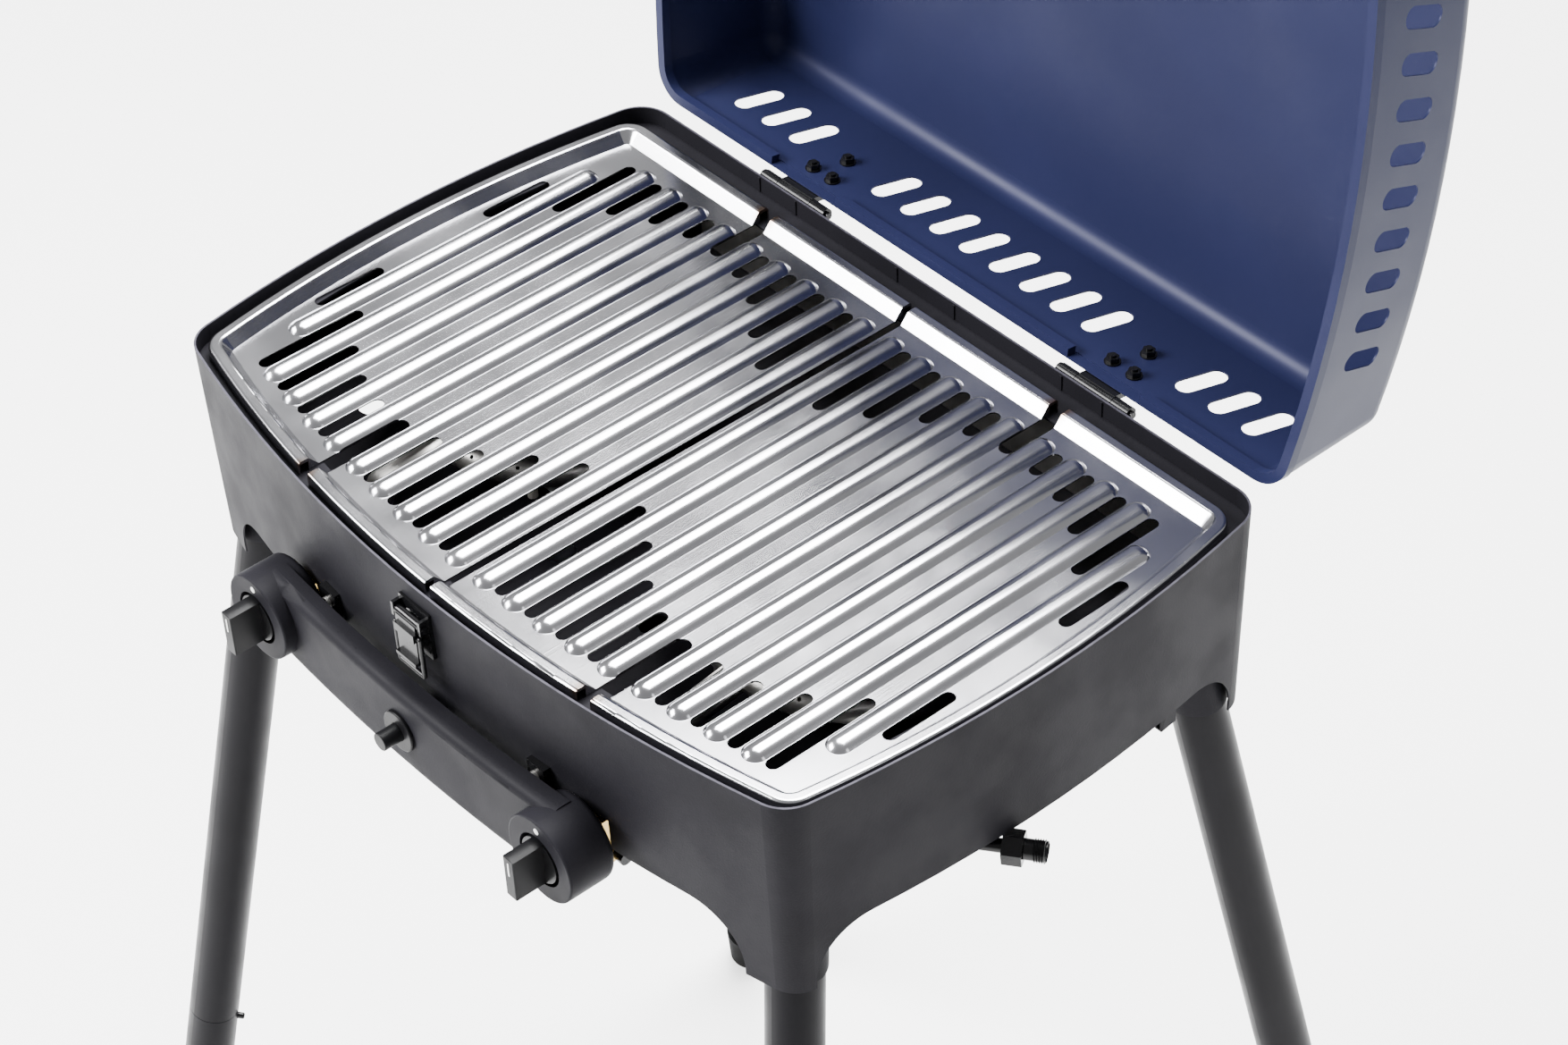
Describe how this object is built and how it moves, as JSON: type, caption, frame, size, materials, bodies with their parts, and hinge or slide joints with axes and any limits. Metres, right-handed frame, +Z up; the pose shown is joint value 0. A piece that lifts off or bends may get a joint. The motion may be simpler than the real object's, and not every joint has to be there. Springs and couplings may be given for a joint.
{
  "type": "folding camp grill",
  "caption": "Gas camp grill: shallow drafted burner box with pressed slotted grates, vented hinged lid, front knob panel and splayed plug-in tube legs.",
  "frame": {"origin": "bottom centre of the whole grill standing on level ground with its lid open", "axes": "+Z up, -Y towards the person at the knobs, +X to their right"},
  "size_m": [0.7064, 0.6064, 1.2921],
  "materials": {
    "body_black": "matt charcoal powder coat",
    "leg_black": "satin black powder coat",
    "grate_steel": "pressed stainless steel with heat tint at the edge notches",
    "lid_blue": "satin dark blue enamel",
    "plain_steel": "plain steel",
    "tray_aluminium": "plain",
    "valve_brass": "machined",
    "knob_black": "moulded black, fine grain",
    "button_gloss": "gloss black",
    "ceramic": null,
    "foot_rubber": "moulded"
  },
  "bodies": {
    "burner_box_body": {"burner_box": "body_black", "heat_shields": "plain_steel", "leg_sockets": "body_black", "burner_left": "plain_steel", "burner_right": "plain_steel", "burner_brackets": "plain_steel", "electrode_ceramics": "ceramic", "electrode_pins": "plain_steel", "tray_rails": "body_black", "valve_left": "valve_brass", "valve_right": "valve_brass", "knob_bezels": "knob_black", "control_panel": "body_black", "panel_brackets": "body_black", "panel_screws": "plain_steel", "igniter_ring": "knob_black", "igniter_housing": "knob_black", "gas_manifold": "plain_steel", "inlet_pipe": "plain_steel", "inlet_nut": "plain_steel", "inlet_nipple": "plain_steel", "latch_base": "body_black", "hinge_body_leaves": "body_black", "hinge_pins": "plain_steel", "wall_tab": "plain_steel"},
    "lid": {"lid_shell": "lid_blue", "lid_handle": "knob_black", "handle_posts": "plain_steel", "latch_keeper": "body_black", "hinge_lid_leaves": "body_black", "hinge_nuts": "body_black"},
    "stem_left": {"stem_left": "plain_steel"},
    "stem_right": {"stem_right": "plain_steel"},
    "knob_left": {"knob_left": "knob_black"},
    "knob_right": {"knob_right": "knob_black"},
    "igniter_button": {"igniter_button": "button_gloss"},
    "latch_lever": {"latch_lever": "body_black"},
    "latch_bail": {"latch_bail": "plain_steel"},
    "grate_left": {"grate_left": "grate_steel"},
    "grate_right": {"grate_right": "grate_steel"},
    "drip_tray": {"drip_tray": "tray_aluminium"},
    "leg_fl": {"leg_upper_fl": "leg_black", "leg_lower_fl": "leg_black", "foot_cap_fl": "foot_rubber"},
    "leg_button_fl": {"leg_button_fl": "button_gloss"},
    "leg_fr": {"leg_upper_fr": "leg_black", "leg_lower_fr": "leg_black", "foot_cap_fr": "foot_rubber"},
    "leg_button_fr": {"leg_button_fr": "button_gloss"},
    "leg_rl": {"leg_upper_rl": "leg_black", "leg_lower_rl": "leg_black", "foot_cap_rl": "foot_rubber"},
    "leg_button_rl": {"leg_button_rl": "button_gloss"},
    "leg_rr": {"leg_upper_rr": "leg_black", "leg_lower_rr": "leg_black", "foot_cap_rr": "foot_rubber"},
    "leg_button_rr": {"leg_button_rr": "button_gloss"}
  },
  "joints": [
    {"name": "lid_hinge", "type": "hinge", "parent": "burner_box_body", "child": "lid", "pos_m": [0, 0.16078, 0.886], "axis": [-1, 0, 0], "range_deg": [-98.5, 0]},
    {"name": "knob_left_turn", "type": "hinge", "parent": "burner_box_body", "child": "stem_left", "pos_m": [-0.126, -0.23562, 0.8], "axis": [0, -1, 0], "range_deg": [0, 210]},
    {"name": "knob_left_push", "type": "slide", "parent": "stem_left", "child": "knob_left", "axis": [0, 1, 0], "range_m": [0, 0.003], "stiffness_N_per_m": 1500, "springref_m": -0.001},
    {"name": "knob_right_turn", "type": "hinge", "parent": "burner_box_body", "child": "stem_right", "pos_m": [0.126, -0.23562, 0.8], "axis": [0, -1, 0], "range_deg": [0, 210]},
    {"name": "knob_right_push", "type": "slide", "parent": "stem_right", "child": "knob_right", "axis": [0, 1, 0], "range_m": [0, 0.003], "stiffness_N_per_m": 1500, "springref_m": -0.001},
    {"name": "igniter_press", "type": "slide", "parent": "burner_box_body", "child": "igniter_button", "axis": [0, 1, 0], "range_m": [0, 0.008], "stiffness_N_per_m": 1200, "springref_m": -0.001},
    {"name": "latch_lever_hinge", "type": "hinge", "parent": "burner_box_body", "child": "latch_lever", "pos_m": [0, -0.21586, 0.872], "axis": [-1, 0, 0], "range_deg": [0, 160]},
    {"name": "latch_bail_hinge", "type": "hinge", "parent": "latch_lever", "child": "latch_bail", "pos_m": [0, -0.21786, 0.864], "axis": [-1, 0, 0], "range_deg": [0, 30]},
    {"name": "grate_left_lift", "type": "slide", "parent": "burner_box_body", "child": "grate_left", "axis": [0, 0, 1], "range_m": [0, 0.1]},
    {"name": "grate_right_lift", "type": "slide", "parent": "burner_box_body", "child": "grate_right", "axis": [0, 0, 1], "range_m": [0, 0.1]},
    {"name": "drip_tray_slide", "type": "slide", "parent": "burner_box_body", "child": "drip_tray", "axis": [0, 1, 0], "range_m": [0, 0.25]},
    {"name": "leg_fl_pull", "type": "slide", "parent": "burner_box_body", "child": "leg_fl", "axis": [-0.1272, -0.1615, -0.9786], "range_m": [0, 0.075]},
    {"name": "leg_button_fl_press", "type": "slide", "parent": "leg_fl", "child": "leg_button_fl", "axis": [-0.6958, -0.6886, 0.2041], "range_m": [0, 0.0045], "stiffness_N_per_m": 1500, "springref_m": -0.0005},
    {"name": "leg_fr_pull", "type": "slide", "parent": "burner_box_body", "child": "leg_fr", "axis": [0.1272, -0.1615, -0.9786], "range_m": [0, 0.075]},
    {"name": "leg_button_fr_press", "type": "slide", "parent": "leg_fr", "child": "leg_button_fr", "axis": [0.6958, -0.6886, 0.2041], "range_m": [0, 0.0045], "stiffness_N_per_m": 1500, "springref_m": -0.0005},
    {"name": "leg_rl_pull", "type": "slide", "parent": "burner_box_body", "child": "leg_rl", "axis": [-0.1272, 0.1615, -0.9786], "range_m": [0, 0.075]},
    {"name": "leg_button_rl_press", "type": "slide", "parent": "leg_rl", "child": "leg_button_rl", "axis": [-0.6958, 0.6886, 0.2041], "range_m": [0, 0.0045], "stiffness_N_per_m": 1500, "springref_m": -0.0005},
    {"name": "leg_rr_pull", "type": "slide", "parent": "burner_box_body", "child": "leg_rr", "axis": [0.1272, 0.1615, -0.9786], "range_m": [0, 0.075]},
    {"name": "leg_button_rr_press", "type": "slide", "parent": "leg_rr", "child": "leg_button_rr", "axis": [0.6958, 0.6886, 0.2041], "range_m": [0, 0.0045], "stiffness_N_per_m": 1500, "springref_m": -0.0005}
  ]
}
